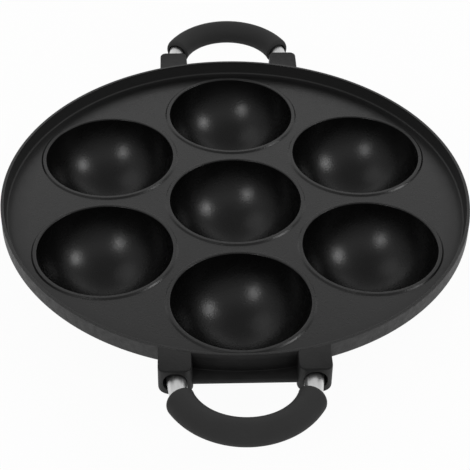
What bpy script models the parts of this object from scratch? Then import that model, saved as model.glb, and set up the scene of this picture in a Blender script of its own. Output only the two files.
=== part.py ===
"""Seven-hole cake pan: a coated casting with seven round bowls, and a steel handle with a grip at each end.

Run it with blender --background --python part.py, or from the text editor.
Lengths are in metres and +Z is up. The pan stands on the flat feet of its cups at z = 0, its
centre is on the Z axis, and its two handles lie along Y.
"""
from math import asin, atan2, cos, hypot, pi, radians, sin, sqrt, tan

import bmesh
import bpy
from mathutils import Vector

# Cups: a spherical bowl inside, a dome outside and a flat foot
CUPS_AROUND = 6
MOUTH_RADIUS = 0.0423
BOWL_DEPTH = 0.0380
MOUTH_CHAMFER = 0.0004
CUP_WALL = 0.0030
BASE_THICKNESS = 0.0030
FOOT_RADIUS = 0.0130
CUP_FILLET = 0.0024

# Raised lip round each cup
LIP_WIDTH = 0.0024
LIP_RISE = 0.0009
LIP_SLOPE = 0.0009
LIP_SINK = 0.0003
LIP_GAP = 0.0041

# Plate and rim
PLATE_THICKNESS = 0.0031
RIM_MARGIN = 0.0061
RIM_HEIGHT = 0.0087
RIM_DRAFT = 0.0009
RIM_LIP_WIDTH = 0.0021
RIM_FOOT_FILLET = 0.0012
RIM_EDGE = 0.0005
RIM_CORNER = 0.0020

# Handle rods, bent in one plane that tips up away from the pan
ROD_RADIUS = 0.0055
ROD_INSERT = 0.0150
LEG_ANGLE = radians(7.2)
LEG_LENGTH = 0.0130
SHOULDER_RADIUS = 0.0125
SHOULDER_TURN = radians(16.8)
HANDLE_TILT = radians(2.6)

# Lugs, with a straight blind bore for each leg of a rod
BORE_X = 0.03955
BORE_BACK_WALL = 0.0029
LUG_OUTER_WALL = 0.0027
LUG_INNER_WALL = 0.0037
LUG_TOP_WALL = 0.0024
LUG_FLOOR = 0.0022
LUG_BACK = 0.0085
LUG_HEEL = 0.0020
LUG_STEP = 0.0001
LUG_CORNER = 0.0035
LUG_BELLY = 0.0038
LUG_EDGE = 0.0007

# Web between the two lugs of a handle
WEB_STEP = 0.0022
WEB_THICKNESS = 0.0029
WEB_SETBACK = 0.0024
WEB_ROOT = 0.0022
WEB_EDGE = 0.0011
WEB_FILLET = 0.0040

# Grips
GRIP_WALL = 0.0026
GRIP_TAPER = 0.0003
GRIP_START = 0.0115
GRIP_LIP = 0.0004

# Set screws that hold the rods, from the undersides of the lugs
SCREW_RADIUS = 0.0020
SCREW_INSET = 0.0095
SCREW_BITE = 0.0015
SCREW_RECESS = 0.0004
SCREW_CHAMFER = 0.0004
SOCKET_RADIUS = 0.0012
SOCKET_DEPTH = 0.0015

# Gap between pieces, run of a cut or joined shape past its face, and dip of a fillet into its face
CLEARANCE = 0.0003
OVERLAP = 0.0010
FILLET_DIP = 0.0001

# Points closer than this are one
WELD = 0.000002

# Facets
RIM_SIDES = 72
CUP_SIDES = 32
BOWL_RINGS = 7
DOME_RINGS = 5
CORNER_STEPS = 3
EDGE_STEPS = 2
SHOULDER_STEPS = 2
BOW_STEPS = 14
TUBE_RESOLUTION = 4
BORE_SIDES = 24
SCREW_SIDES = 12
SOCKET_SIDES = 6
SMOOTH_ANGLE = radians(32)

# Heights
LIP_Z = BASE_THICKNESS + BOWL_DEPTH
PLATE_TOP = LIP_Z - LIP_RISE
PLATE_BOTTOM = PLATE_TOP - PLATE_THICKNESS
RIM_TOP = PLATE_TOP + RIM_HEIGHT
WEB_TOP = PLATE_TOP - WEB_STEP

# Radii from the cup's axis and from the pan's
LIP_RADIUS = MOUTH_RADIUS + LIP_WIDTH
LIP_FOOT_RADIUS = LIP_RADIUS + LIP_SLOPE
CUP_PITCH = 2 * LIP_FOOT_RADIUS + LIP_GAP
RING_RADIUS = max(CUP_PITCH, CUP_PITCH / (2 * sin(pi / CUPS_AROUND)))
TRAY_RADIUS = RING_RADIUS + LIP_FOOT_RADIUS + RIM_MARGIN
RIM_RADIUS = TRAY_RADIUS + RIM_DRAFT + RIM_LIP_WIDTH

# Bowl sphere, which meets the lip's plane at the mouth's radius
BOWL_SPHERE = (MOUTH_RADIUS ** 2 + BOWL_DEPTH ** 2) / (2 * BOWL_DEPTH)
BOWL_CENTRE = BASE_THICKNESS + BOWL_SPHERE

# Bores: each leg crosses its bore from the inner side of the mouth to the outer side of the bottom
LEG_SPREAD = ROD_INSERT / 2 * tan(LEG_ANGLE)
LEG_DROP = ROD_INSERT / 2 * tan(HANDLE_TILT)
BORE_RADIUS = ROD_RADIUS / cos(LEG_ANGLE) + hypot(LEG_SPREAD, LEG_DROP) + CLEARANCE
BORE_DEPTH = ROD_INSERT + CLEARANCE
LEG_X = BORE_X - LEG_SPREAD
LEG_END_DEPTH = ROD_INSERT - ROD_RADIUS * sin(hypot(LEG_ANGLE, HANDLE_TILT))

# Lugs: long enough for the bore and a wall between it and the tray
LUG_TOP = RIM_TOP - LUG_STEP
BORE_Z = LUG_TOP - LUG_TOP_WALL - BORE_RADIUS
HANDLE_Z = BORE_Z + LEG_DROP
LUG_BOTTOM = BORE_Z - BORE_RADIUS - LUG_FLOOR
LUG_INNER_X = BORE_X - BORE_RADIUS - LUG_INNER_WALL
LUG_OUTER_X = BORE_X + BORE_RADIUS + LUG_OUTER_WALL
LUG_MIDDLE_X = (LUG_INNER_X + LUG_OUTER_X) / 2
LUG_WIDTH = LUG_OUTER_X - LUG_INNER_X
BORE_BOTTOM_Y = sqrt(TRAY_RADIUS ** 2 - (BORE_X - BORE_RADIUS) ** 2) + BORE_BACK_WALL
LUG_FACE = BORE_BOTTOM_Y + BORE_DEPTH
LUG_ROOT = BORE_BOTTOM_Y - LUG_BACK

# Grips
GRIP_RADIUS = ROD_RADIUS + GRIP_WALL
GRIP_BORE = ROD_RADIUS + CLEARANCE


def clear_scene():
    for obj in list(bpy.data.objects):
        bpy.data.objects.remove(obj, do_unlink=True)


def new_collection(name):
    collection = bpy.data.collections.new(name)
    bpy.context.scene.collection.children.link(collection)
    return collection


def new_object(name, data, collection, parent=None):
    obj = bpy.data.objects.new(name, data)
    obj.parent = parent
    collection.objects.link(obj)
    return obj


def new_frame(name, collection, location=(0, 0, 0), rotation=(0, 0, 0), parent=None):
    """An empty that carries the pieces of one end or of one handle."""
    frame = new_object(name, None, collection, parent)
    frame.location = location
    frame.rotation_euler = rotation
    bpy.context.view_layer.update()
    return frame


def arc(centre_x, centre_y, radius, start, end, steps):
    """Points on an arc, both ends included."""
    angles = [start + (end - start) * i / steps for i in range(steps + 1)]
    return [(centre_x + radius * cos(a), centre_y + radius * sin(a)) for a in angles]


def rounded_outline(corners):
    """Closed outline through corners (x, y, radius), each rounded where its radius isn't 0."""
    outline = []
    for i, (x, y, radius) in enumerate(corners):
        corner = Vector((x, y))
        back = (Vector(corners[i - 1][:2]) - corner).normalized()
        ahead = (Vector(corners[(i + 1) % len(corners)][:2]) - corner).normalized()
        if radius == 0:
            outline.append((x, y))
            continue
        half = back.angle(ahead) / 2
        centre = corner + (back + ahead).normalized() * radius / sin(half)
        start = corner + back * radius / tan(half) - centre
        end = corner + ahead * radius / tan(half) - centre
        first = atan2(start.y, start.x)
        turn = (atan2(end.y, end.x) - first + pi) % (2 * pi) - pi
        outline += arc(centre.x, centre.y, radius, first, first + turn, CORNER_STEPS)
    return outline


def revolved(name, profile, sides, collection, parent=None):
    """A turned solid from (radius, height) points that run down its outer side."""
    mesh = bpy.data.meshes.new(name)
    bm = bmesh.new()
    verts = [bm.verts.new((radius, 0, height)) for radius, height in profile]
    for upper, lower in zip(verts, verts[1:]):
        bm.edges.new((upper, lower))
    bm.to_mesh(mesh)
    bm.free()
    obj = new_object(name, mesh, collection, parent)
    screw = obj.modifiers.new("turn", "SCREW")
    screw.axis = "Z"
    screw.angle = 2 * pi
    screw.steps = sides
    screw.render_steps = sides
    screw.use_merge_vertices = True
    screw.merge_threshold = 0.00001
    return obj


def mesh_from_curve(curve_object, collection):
    """A welded mesh object in the place of a curve object."""
    name = curve_object.name
    graph = bpy.context.evaluated_depsgraph_get()
    mesh = bpy.data.meshes.new_from_object(curve_object.evaluated_get(graph))
    weld(mesh)
    solid = new_object(name + "_solid", mesh, collection, curve_object.parent)
    solid.matrix_world = curve_object.matrix_world
    bpy.data.objects.remove(curve_object, do_unlink=True)
    solid.name = name
    return solid


def prism(name, outline, thickness, collection, parent, location=(0, 0, 0), rotation=(0, 0, 0)):
    """A flat outline with half its thickness on each side of its own plane."""
    curve = bpy.data.curves.new(name, "CURVE")
    curve.dimensions = "2D"
    curve.fill_mode = "BOTH"
    curve.extrude = thickness / 2
    spline = curve.splines.new("POLY")
    spline.points.add(len(outline) - 1)
    for point, (x, y) in zip(spline.points, outline):
        point.co = (x, y, 0, 1)
    spline.use_cyclic_u = True
    obj = new_object(name, curve, collection, parent)
    obj.location = location
    obj.rotation_euler = rotation
    bpy.context.view_layer.update()
    return mesh_from_curve(obj, collection)


def tube(name, path, radius, collection, parent):
    """A tube along (x, y, share of the radius) points in its parent's XY plane."""
    curve = bpy.data.curves.new(name, "CURVE")
    curve.dimensions = "3D"
    curve.bevel_depth = radius
    curve.bevel_resolution = TUBE_RESOLUTION
    curve.use_fill_caps = True
    spline = curve.splines.new("POLY")
    spline.points.add(len(path) - 1)
    for point, (x, y, share) in zip(spline.points, path):
        point.co = (x, y, 0, 1)
        point.radius = share
    obj = new_object(name, curve, collection, parent)
    bpy.context.view_layer.update()
    return mesh_from_curve(obj, collection)


def boolean(obj, tool, operation):
    """Joins a tool to the object or cuts it away; the tool stays as a wire guide."""
    modifier = obj.modifiers.new(tool.name, "BOOLEAN")
    modifier.operation = operation
    modifier.object = tool
    tool.hide_render = True
    tool.display_type = "WIRE"


def weld(mesh):
    """Merges points that fall together."""
    bm = bmesh.new()
    bm.from_mesh(mesh)
    bmesh.ops.remove_doubles(bm, verts=bm.verts, dist=WELD)
    bm.to_mesh(mesh)
    bm.free()


def settle(obj):
    """Works the object's modifiers into its mesh, so that its edges can be shaded by their angle."""
    graph = bpy.context.evaluated_depsgraph_get()
    mesh = bpy.data.meshes.new_from_object(obj.evaluated_get(graph))
    weld(mesh)
    obj.modifiers.clear()
    obj.data = mesh


def finish(obj, material):
    obj.data.materials.clear()
    obj.data.materials.append(material)
    obj.data.shade_smooth()
    obj.data.set_sharp_from_angle(angle=SMOOTH_ANGLE)


def new_material(name, colour, roughness, metallic):
    material = bpy.data.materials.new(name)
    material.use_nodes = True
    shader = material.node_tree.nodes["Principled BSDF"]
    shader.inputs["Base Color"].default_value = (*colour, 1)
    shader.inputs["Roughness"].default_value = roughness
    shader.inputs["Metallic"].default_value = metallic
    return material


def plate_profile():
    """Section of the plate and its rim: the inner wall leans out, with a fillet round its foot."""
    fillet_radius = TRAY_RADIUS - RIM_FOOT_FILLET
    fillet_z = PLATE_TOP + RIM_FOOT_FILLET
    foot = arc(fillet_radius, fillet_z, RIM_FOOT_FILLET, -pi / 2, 0, EDGE_STEPS)
    lip = (RIM_RADIUS - RIM_LIP_WIDTH, RIM_TOP)
    edge = arc(RIM_RADIUS - RIM_EDGE, RIM_TOP - RIM_EDGE, RIM_EDGE, pi / 2, 0, EDGE_STEPS)
    corner_radius = RIM_RADIUS - RIM_CORNER
    corner = arc(corner_radius, PLATE_BOTTOM + RIM_CORNER, RIM_CORNER, 0, -pi / 2, CORNER_STEPS)
    return [(0, PLATE_TOP)] + foot + [lip] + edge + corner + [(0, PLATE_BOTTOM)]


def cup_profile():
    """A cup's lip, the fillet under the plate, the dome and the foot, as one solid."""
    neck = sqrt((BOWL_SPHERE + CUP_WALL) ** 2 - (BOWL_CENTRE - PLATE_BOTTOM) ** 2)
    centre = (PLATE_BOTTOM ** 2 + neck ** 2 - FOOT_RADIUS ** 2) / (2 * PLATE_BOTTOM)
    sphere = hypot(FOOT_RADIUS, centre)
    fillet_z = PLATE_BOTTOM + FILLET_DIP - CUP_FILLET
    fillet_radius = sqrt((sphere + CUP_FILLET) ** 2 - (centre - fillet_z) ** 2)
    lean = atan2(centre - fillet_z, fillet_radius)
    fillet = arc(fillet_radius, fillet_z, CUP_FILLET, pi / 2, pi - lean, EDGE_STEPS)
    dome = arc(0, centre, sphere, -lean, -asin(centre / sphere), DOME_RINGS)
    slope_foot = (LIP_FOOT_RADIUS + LIP_SINK * LIP_SLOPE / LIP_RISE, PLATE_TOP - LIP_SINK)
    return [(0, LIP_Z), (LIP_RADIUS, LIP_Z), slope_foot] + fillet + dome[1:] + [(0, 0)]


def bowl_profile():
    """The inside of a cup, cut on past the lip with a chamfer round its mouth."""
    edge_z = LIP_Z - MOUTH_CHAMFER
    edge_angle = asin((edge_z - BOWL_CENTRE) / BOWL_SPHERE)
    bowl = arc(0, BOWL_CENTRE, BOWL_SPHERE, edge_angle, -pi / 2, BOWL_RINGS)
    above = LIP_Z + OVERLAP
    wide = bowl[0][0] + above - edge_z
    return [(0, above), (wide, above)] + bowl[:-1] + [(0, BASE_THICKNESS)]


def cup_centres():
    """The middle cup, then a ring of cups with one of them before each handle."""
    angles = [pi / 2 + 2 * pi * i / CUPS_AROUND for i in range(CUPS_AROUND)]
    return [(0, 0)] + [(RING_RADIUS * cos(a), RING_RADIUS * sin(a)) for a in angles]


def lug_outlines():
    """A lug's outline from above, from its end and from its side, the last as (y, z)."""
    half = LUG_WIDTH / 2
    above = rounded_outline([
        (-half, LUG_ROOT, 0), (half, LUG_ROOT, 0),
        (half, LUG_FACE, LUG_CORNER), (-half, LUG_FACE, LUG_CORNER),
    ])
    end = rounded_outline([
        (-half, LUG_BOTTOM, LUG_BELLY), (half, LUG_BOTTOM, LUG_BELLY),
        (half, LUG_TOP, LUG_EDGE), (-half, LUG_TOP, LUG_EDGE),
    ])
    side = rounded_outline([
        (LUG_ROOT, PLATE_BOTTOM + OVERLAP, 0), (BORE_BOTTOM_Y - LUG_HEEL, LUG_BOTTOM, LUG_BELLY),
        (LUG_FACE, LUG_BOTTOM, LUG_EDGE), (LUG_FACE, LUG_TOP, LUG_EDGE), (LUG_ROOT, LUG_TOP, 0),
    ])
    return above, end, side


def make_lug(name, side, core, cutters, frame):
    """A lug as the volume that its three outlines have in common, less the round inside the rim."""
    above, end, profile = lug_outlines()
    x = side * LUG_MIDDLE_X
    margin = 2 * OVERLAP
    height = LUG_TOP - LUG_BOTTOM + margin
    middle_y = (LUG_ROOT + LUG_FACE) / 2
    length = LUG_FACE - LUG_ROOT + margin
    lug = prism(name, above, height, cutters, frame, (x, 0, (LUG_TOP + LUG_BOTTOM) / 2))
    front = prism(name + "_end", end, length, cutters, frame, (x, middle_y, 0), (pi / 2, 0, 0))
    flank = prism(
        name + "_flank", profile, LUG_WIDTH + margin, cutters, frame, (x, 0, 0), (pi / 2, 0, pi / 2)
    )
    boolean(lug, front, "INTERSECT")
    boolean(lug, flank, "INTERSECT")
    boolean(lug, core, "DIFFERENCE")
    return lug


def make_core(cutters):
    """The round that the lugs leave free, from the middle of the plate up and out into the rim's wall."""
    radius = RIM_RADIUS - RIM_LIP_WIDTH / 2
    above = RIM_TOP + OVERLAP
    below = (PLATE_TOP + PLATE_BOTTOM) / 2
    profile = [(0, above), (radius, above), (radius, below), (0, below)]
    core = revolved("rim_core", profile, RIM_SIDES, cutters)
    core.rotation_euler.z = pi / RIM_SIDES
    return core


def web_section():
    """Section (y, z) of the web, its outer edge rounded above and eased below."""
    root = sqrt(RIM_RADIUS ** 2 - LUG_INNER_X ** 2) - WEB_ROOT
    edge = LUG_FACE - WEB_SETBACK
    bottom = WEB_TOP - WEB_THICKNESS
    return rounded_outline([
        (root, bottom, 0), (edge, bottom, WEB_EDGE / 2), (edge, WEB_TOP, WEB_EDGE), (root, WEB_TOP, 0),
    ])


def web_fillet_profile():
    """Ring that fills the hollow corner between the rim's wall and the web."""
    centre_radius = RIM_RADIUS + WEB_FILLET - FILLET_DIP
    centre_z = WEB_TOP + WEB_FILLET - FILLET_DIP
    hollow = arc(centre_radius, centre_z, WEB_FILLET, pi, 3 * pi / 2, CORNER_STEPS)
    inner = RIM_RADIUS - OVERLAP
    below = WEB_TOP - OVERLAP
    return [(inner, centre_z)] + hollow + [(centre_radius, below), (inner, below), (inner, centre_z)]


def make_web(name, cutters, frame):
    """The web's plate from lug to lug, and its fillet along the round rim."""
    half = LUG_INNER_X + OVERLAP
    plate = prism(name, web_section(), 2 * half, cutters, frame, rotation=(pi / 2, 0, pi / 2))
    fillet = revolved(name + "_fillet", web_fillet_profile(), RIM_SIDES, cutters, frame)
    outline = [(-half, LUG_ROOT), (half, LUG_ROOT), (half, LUG_FACE), (-half, LUG_FACE)]
    span = prism(name + "_span", outline, 2 * RIM_TOP, cutters, frame)
    boolean(fillet, span, "INTERSECT")
    return [plate, fillet]


def make_bore(name, side, cutters, frame):
    """Straight blind bore along Y, open at the lug's face."""
    mesh = bpy.data.meshes.new(name)
    depth = BORE_DEPTH + OVERLAP
    bm = bmesh.new()
    bmesh.ops.create_cone(
        bm, cap_ends=True, segments=BORE_SIDES, radius1=BORE_RADIUS, radius2=BORE_RADIUS, depth=depth
    )
    bm.to_mesh(mesh)
    bm.free()
    bore = new_object(name, mesh, cutters, frame)
    bore.location = (side * BORE_X, BORE_BOTTOM_Y + depth / 2, BORE_Z)
    bore.rotation_euler.x = pi / 2
    return bore


def leg_point(depth):
    """Place on the right leg's straight centre line, depth behind the lug's face, in the handle's plane."""
    run = depth / cos(HANDLE_TILT)
    return LEG_X + run * tan(LEG_ANGLE), -run


def handle_path():
    """Centre line of a rod in the handle's plane, from the end of its right leg to that of its left.

    Each leg is straight, a short shoulder bends it in, and one round bow joins the two."""
    run = LEG_LENGTH * cos(LEG_ANGLE)
    x, y = LEG_X - LEG_LENGTH * sin(LEG_ANGLE), run
    turn = LEG_ANGLE + SHOULDER_TURN
    shoulder_x = x - SHOULDER_RADIUS * cos(LEG_ANGLE)
    shoulder_y = y - SHOULDER_RADIUS * sin(LEG_ANGLE)
    shoulder = arc(shoulder_x, shoulder_y, SHOULDER_RADIUS, LEG_ANGLE, turn, SHOULDER_STEPS)
    end_x, end_y = shoulder[-1]
    bow_radius = end_x / cos(turn)
    bow = arc(0, end_y - bow_radius * sin(turn), bow_radius, turn, pi - turn, BOW_STEPS)
    right = [leg_point(LEG_END_DEPTH)] + shoulder
    left = [(-x, y) for x, y in reversed(right)]
    return right + bow[1:-1] + left


def place_along(path, length):
    """Point at a length along a path."""
    for (x0, y0), (x1, y1) in zip(path, path[1:]):
        step = hypot(x1 - x0, y1 - y0)
        if length <= step:
            break
        length -= step
    share = length / step
    return x0 + (x1 - x0) * share, y0 + (y1 - y0) * share


def path_lengths(path):
    """Length along a path at each of its points."""
    lengths = [0]
    for (x0, y0), (x1, y1) in zip(path, path[1:]):
        lengths.append(lengths[-1] + hypot(x1 - x0, y1 - y0))
    return lengths


def grip_path():
    """Centre line of a grip with its share of the full radius: a slight swell and round ends."""
    rod = handle_path()
    lengths = path_lengths(rod)
    total = lengths[-1]
    start = LEG_END_DEPTH / (cos(LEG_ANGLE) * cos(HANDLE_TILT)) + GRIP_START
    end_radius = GRIP_RADIUS - GRIP_TAPER
    opening = asin((GRIP_BORE + GRIP_LIP) / end_radius)
    dome_length = end_radius * cos(opening)
    dome = arc(start + dome_length, 0, end_radius, pi - opening, pi / 2, CORNER_STEPS)
    half = total / 2
    ends = dome + [(total - length, radius) for length, radius in dome]
    body = [length for length in lengths if start + dome_length < length < total - start - dome_length]
    swell = [1 - (abs(length - half) / (half - start - dome_length)) ** 2 for length in body]
    rings = ends + [(length, end_radius + GRIP_TAPER * share) for length, share in zip(body, swell)]
    return [(*place_along(rod, length), radius / GRIP_RADIUS) for length, radius in sorted(rings)]


def make_rod(name, parts, frame):
    return tube(name, [(x, y, 1) for x, y in handle_path()], ROD_RADIUS, parts, frame)


def make_grip(name, parts, cutters, frame):
    """A sleeve over the bow, with the rod's own line as its bore."""
    grip = tube(name, grip_path(), GRIP_RADIUS, parts, frame)
    bore = tube(name + "_bore", [(x, y, 1) for x, y in handle_path()], GRIP_BORE, cutters, frame)
    boolean(grip, bore, "DIFFERENCE")
    return grip


def make_screw(name, place, parts, cutters):
    """Set screw under a leg, with its tip in the leg and a hexagon socket in its foot."""
    foot = LUG_BOTTOM + SCREW_RECESS
    tip = place.z - ROD_RADIUS + SCREW_BITE
    narrow = SCREW_RADIUS - SCREW_CHAMFER
    length = tip - foot
    profile = [
        (0, length), (narrow, length), (SCREW_RADIUS, length - SCREW_CHAMFER),
        (SCREW_RADIUS, SCREW_CHAMFER), (narrow, 0), (0, 0),
    ]
    screw = revolved(name, profile, SCREW_SIDES, parts)
    screw.location = (place.x, place.y, foot)
    socket_profile = [
        (0, SOCKET_DEPTH), (SOCKET_RADIUS, SOCKET_DEPTH), (SOCKET_RADIUS, -OVERLAP), (0, -OVERLAP),
    ]
    socket = revolved(name + "_socket", socket_profile, SOCKET_SIDES, cutters, screw)
    boolean(screw, socket, "DIFFERENCE")
    return screw


def make_screw_hole(name, place, cutters):
    """Hole for a set screw, up through the lug's floor and into the leg."""
    top = place.z - ROD_RADIUS + SCREW_BITE + CLEARANCE
    radius = SCREW_RADIUS + CLEARANCE
    below = LUG_BOTTOM - OVERLAP
    hole = revolved(name, [(0, top), (radius, top), (radius, below), (0, below)], SCREW_SIDES, cutters)
    hole.location = (place.x, place.y, 0)
    return hole


def make_end(end, turn, core, parts, cutters):
    """One end of the pan: its lugs, web and bores, then its rod, grip and two set screws."""
    frame = new_frame(end + "_end", parts, rotation=(0, 0, turn))
    handle = new_frame(end + "_handle", parts, (0, LUG_FACE, HANDLE_Z), (HANDLE_TILT, 0, 0), frame)
    joined = make_web(end + "_web", cutters, frame)
    cut = []
    rod = make_rod(end + "_handle_rod", parts, handle)
    grip = make_grip(end + "_grip", parts, cutters, handle)
    screws = []
    x, y = leg_point(SCREW_INSET)
    for side in (-1, 1):
        place = handle.matrix_world @ Vector((side * x, y, 0))
        name = end + ("_left" if place.x < 0 else "_right")
        joined.append(make_lug(name + "_lug", side, core, cutters, frame))
        cut.append(make_bore(name + "_bore", side, cutters, frame))
        screws.append(make_screw(name + "_set_screw", place, parts, cutters))
        hole = make_screw_hole(name + "_screw_hole", place, cutters)
        boolean(rod, hole, "DIFFERENCE")
        cut.append(hole)
    return joined, cut, rod, grip, screws


def make_pan(joined, cut, parts, cutters):
    """The casting: the plate with its rim, then webs, lugs and cups, and what is hollow last."""
    pan = revolved("pan_body", plate_profile(), RIM_SIDES, parts)
    for shape in joined:
        boolean(pan, shape, "UNION")
    bowls = []
    for number, (x, y) in enumerate(cup_centres()):
        cup = revolved(f"cup_{number}", cup_profile(), CUP_SIDES, cutters)
        bowl = revolved(f"bowl_{number}", bowl_profile(), CUP_SIDES, cutters)
        cup.location = bowl.location = (x, y, 0)
        cup.rotation_euler.z = bowl.rotation_euler.z = pi / CUP_SIDES
        boolean(pan, cup, "UNION")
        bowls.append(bowl)
    for shape in bowls + cut:
        boolean(pan, shape, "DIFFERENCE")
    return pan


def main():
    clear_scene()
    parts = new_collection("seven_hole_cake_pan")
    cutters = new_collection("cutters")
    coating = new_material("black_coating", (0.040, 0.040, 0.042), 0.42, 0.0)
    steel = new_material("polished_steel", (0.60, 0.59, 0.57), 0.22, 1.0)
    rubber = new_material("black_grip", (0.028, 0.028, 0.030), 0.62, 0.0)
    screw_steel = new_material("dark_screw_steel", (0.12, 0.12, 0.12), 0.40, 1.0)
    joined, cut, pieces = [], [], []
    core = make_core(cutters)
    for end, turn in (("rear", 0), ("front", pi)):
        end_joined, end_cut, rod, grip, screws = make_end(end, turn, core, parts, cutters)
        joined += end_joined
        cut += end_cut
        pieces += [(rod, steel), (grip, rubber)] + [(screw, screw_steel) for screw in screws]
    pieces.append((make_pan(joined, cut, parts, cutters), coating))
    bpy.context.view_layer.update()
    for piece, _ in pieces:
        settle(piece)
    for piece, material in pieces:
        finish(piece, material)


main()
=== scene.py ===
"""Looks of the seven-hole cake pan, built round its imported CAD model.

Lengths are in metres and +Z is up, in the CAD model's own frame: the pan stands on z = 0 with its
centre on the Z axis, and its two handles lie along Y, the front one towards the camera.
"""
from math import acos, atan2, ceil, cos, hypot, pi, radians, sin, sqrt, tan

import bmesh
import bpy
from mathutils import Matrix, Vector

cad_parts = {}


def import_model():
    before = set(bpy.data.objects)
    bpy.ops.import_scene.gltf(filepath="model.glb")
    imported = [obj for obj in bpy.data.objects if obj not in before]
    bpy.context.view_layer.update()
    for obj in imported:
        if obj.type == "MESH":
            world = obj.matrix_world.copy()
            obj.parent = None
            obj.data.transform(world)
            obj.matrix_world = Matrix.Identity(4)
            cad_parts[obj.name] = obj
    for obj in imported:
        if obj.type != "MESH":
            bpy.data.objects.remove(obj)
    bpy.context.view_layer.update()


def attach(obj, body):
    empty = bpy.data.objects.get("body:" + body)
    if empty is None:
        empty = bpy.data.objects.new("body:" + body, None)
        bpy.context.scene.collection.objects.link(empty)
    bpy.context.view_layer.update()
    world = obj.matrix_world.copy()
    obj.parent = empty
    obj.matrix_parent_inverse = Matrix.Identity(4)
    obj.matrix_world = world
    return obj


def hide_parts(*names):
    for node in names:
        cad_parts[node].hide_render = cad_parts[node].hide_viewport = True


# Cups
CUPS_AROUND = 6
MOUTH_RADIUS = 0.0423
BOWL_DEPTH = 0.0380
MOUTH_EDGE = 0.0008
CUP_WALL = 0.0030
BASE_THICKNESS = 0.0030
FOOT_RADIUS = 0.0130
FOOT_EDGE = 0.0012
CUP_FILLET = 0.0024
LIP_WIDTH = 0.0024
LIP_RISE = 0.0009
LIP_SLOPE = 0.0009
LIP_SPREAD = 0.0002
LIP_EDGE = 0.0003
LIP_FOOT_FILLET = 0.0006
LIP_GAP = 0.0041

# Plate and rim
PLATE_THICKNESS = 0.0031
RIM_MARGIN = 0.0061
RIM_HEIGHT = 0.0087
RIM_DRAFT = 0.0009
RIM_LEAN = radians(6)
RIM_LIP_WIDTH = 0.0021
RIM_FOOT_FILLET = 0.0012
RIM_INNER_EDGE = 0.0003
RIM_EDGE = 0.0005
RIM_CORNER = 0.0020

# Handle rods
ROD_RADIUS = 0.0055
ROD_EDGE = 0.0006
ROD_INSERT = 0.0150
LEG_ANGLE = radians(7.2)
LEG_LENGTH = 0.0125
SHOULDER_RADIUS = 0.0125
SHOULDER_TURN = radians(16.8)
HANDLE_TILT = radians(2.6)

# Lugs
BORE_X = 0.03955
BORE_BACK_WALL = 0.0029
BORE_EDGE = 0.0003
LUG_OUTER_WALL = 0.0027
LUG_INNER_WALL = 0.0037
LUG_TOP_WALL = 0.0024
LUG_FLOOR = 0.0022
LUG_BACK = 0.0085
LUG_HEEL = 0.0020
LUG_STEP = 0.0001
LUG_CORNER = 0.0044
LUG_HEEL_ROUND = 0.0038
LUG_BELLY = 0.0024
LUG_BELLY_FLAT = 0.0035
LUG_BELLY_CORNER = 0.0016
LUG_BELLY_ROUND = 0.0120
LUG_DRAFT = 0.0012
LUG_EDGE = 0.0009

# Webs
WEB_STEP = 0.0022
WEB_THICKNESS = 0.0029
WEB_SETBACK = 0.0028
WEB_ROOT = 0.0022
WEB_EDGE = 0.0010
WEB_FILLET = 0.0005
WEB_DRAFT = 0.0015

# Grips
GRIP_WALL = 0.0026
GRIP_FLARE = 0.0007
GRIP_FLARE_POWER = 3
GRIP_START = 0.0115
GRIP_LIP = 0.0014
GRIP_MOUTH = 0.0012
GRIP_MOUTH_DEPTH = 0.0050
GRIP_END_EDGE = 0.0043
GRIP_SLANT = tan(radians(20))
GRIP_SLANT_REACH = 0.022
GRIP_STEP = 0.0012

# Set screws
SCREW_RADIUS = 0.0020
SCREW_INSET = 0.0095
SCREW_BITE = 0.0015
SCREW_RECESS = 0.0004
SCREW_CHAMFER = 0.0004
SOCKET_RADIUS = 0.0012
SOCKET_DEPTH = 0.0015
SOCKET_TIP = 0.0004

# Room between pieces, overlap of shapes that are joined or cut, and how far fillets sink in to join
CLEARANCE = 0.0003
OVERLAP = 0.0010
FILLET_DIP = 0.00004

# Facets, and the angles and distances that shading and welding go by
RIM_SIDES = 288
CUP_SIDES = 96
BOWL_RINGS = 26
DOME_RINGS = 18
CORNER_STEPS = 8
EDGE_STEPS = 4
ROD_SIDES = 32
GRIP_SIDES = 40
BOW_STEPS = 64
SHOULDER_STEPS = 8
BORE_SIDES = 64
SCREW_SIDES = 32
SOCKET_SIDES = 6
SMOOTH_ANGLE = radians(28)
GRIP_SMOOTH_ANGLE = radians(50)
FLAT_ANGLE = radians(0.1)
WELD = 0.000002
LEVEL = 0.000001

# Heights and radii that follow
LIP_Z = BASE_THICKNESS + BOWL_DEPTH
PLATE_TOP = LIP_Z - LIP_RISE
PLATE_BOTTOM = PLATE_TOP - PLATE_THICKNESS
RIM_TOP = PLATE_TOP + RIM_HEIGHT
WEB_TOP = PLATE_TOP - WEB_STEP
LIP_RADIUS = MOUTH_RADIUS + LIP_WIDTH
LIP_FOOT_RADIUS = LIP_RADIUS + LIP_SLOPE
RING_RADIUS = 2 * LIP_FOOT_RADIUS + LIP_GAP
TRAY_RADIUS = RING_RADIUS + LIP_FOOT_RADIUS + RIM_MARGIN
RIM_RADIUS = TRAY_RADIUS + RIM_DRAFT + RIM_LIP_WIDTH
BOWL_SPHERE = (MOUTH_RADIUS ** 2 + BOWL_DEPTH ** 2) / (2 * BOWL_DEPTH)
BOWL_CENTRE = BASE_THICKNESS + BOWL_SPHERE
LEG_SPREAD = ROD_INSERT / 2 * tan(LEG_ANGLE)
LEG_DROP = ROD_INSERT / 2 * tan(HANDLE_TILT)
BORE_RADIUS = ROD_RADIUS / cos(LEG_ANGLE) + hypot(LEG_SPREAD, LEG_DROP) + CLEARANCE
BORE_DEPTH = ROD_INSERT + CLEARANCE
LEG_X = BORE_X - LEG_SPREAD
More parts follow.
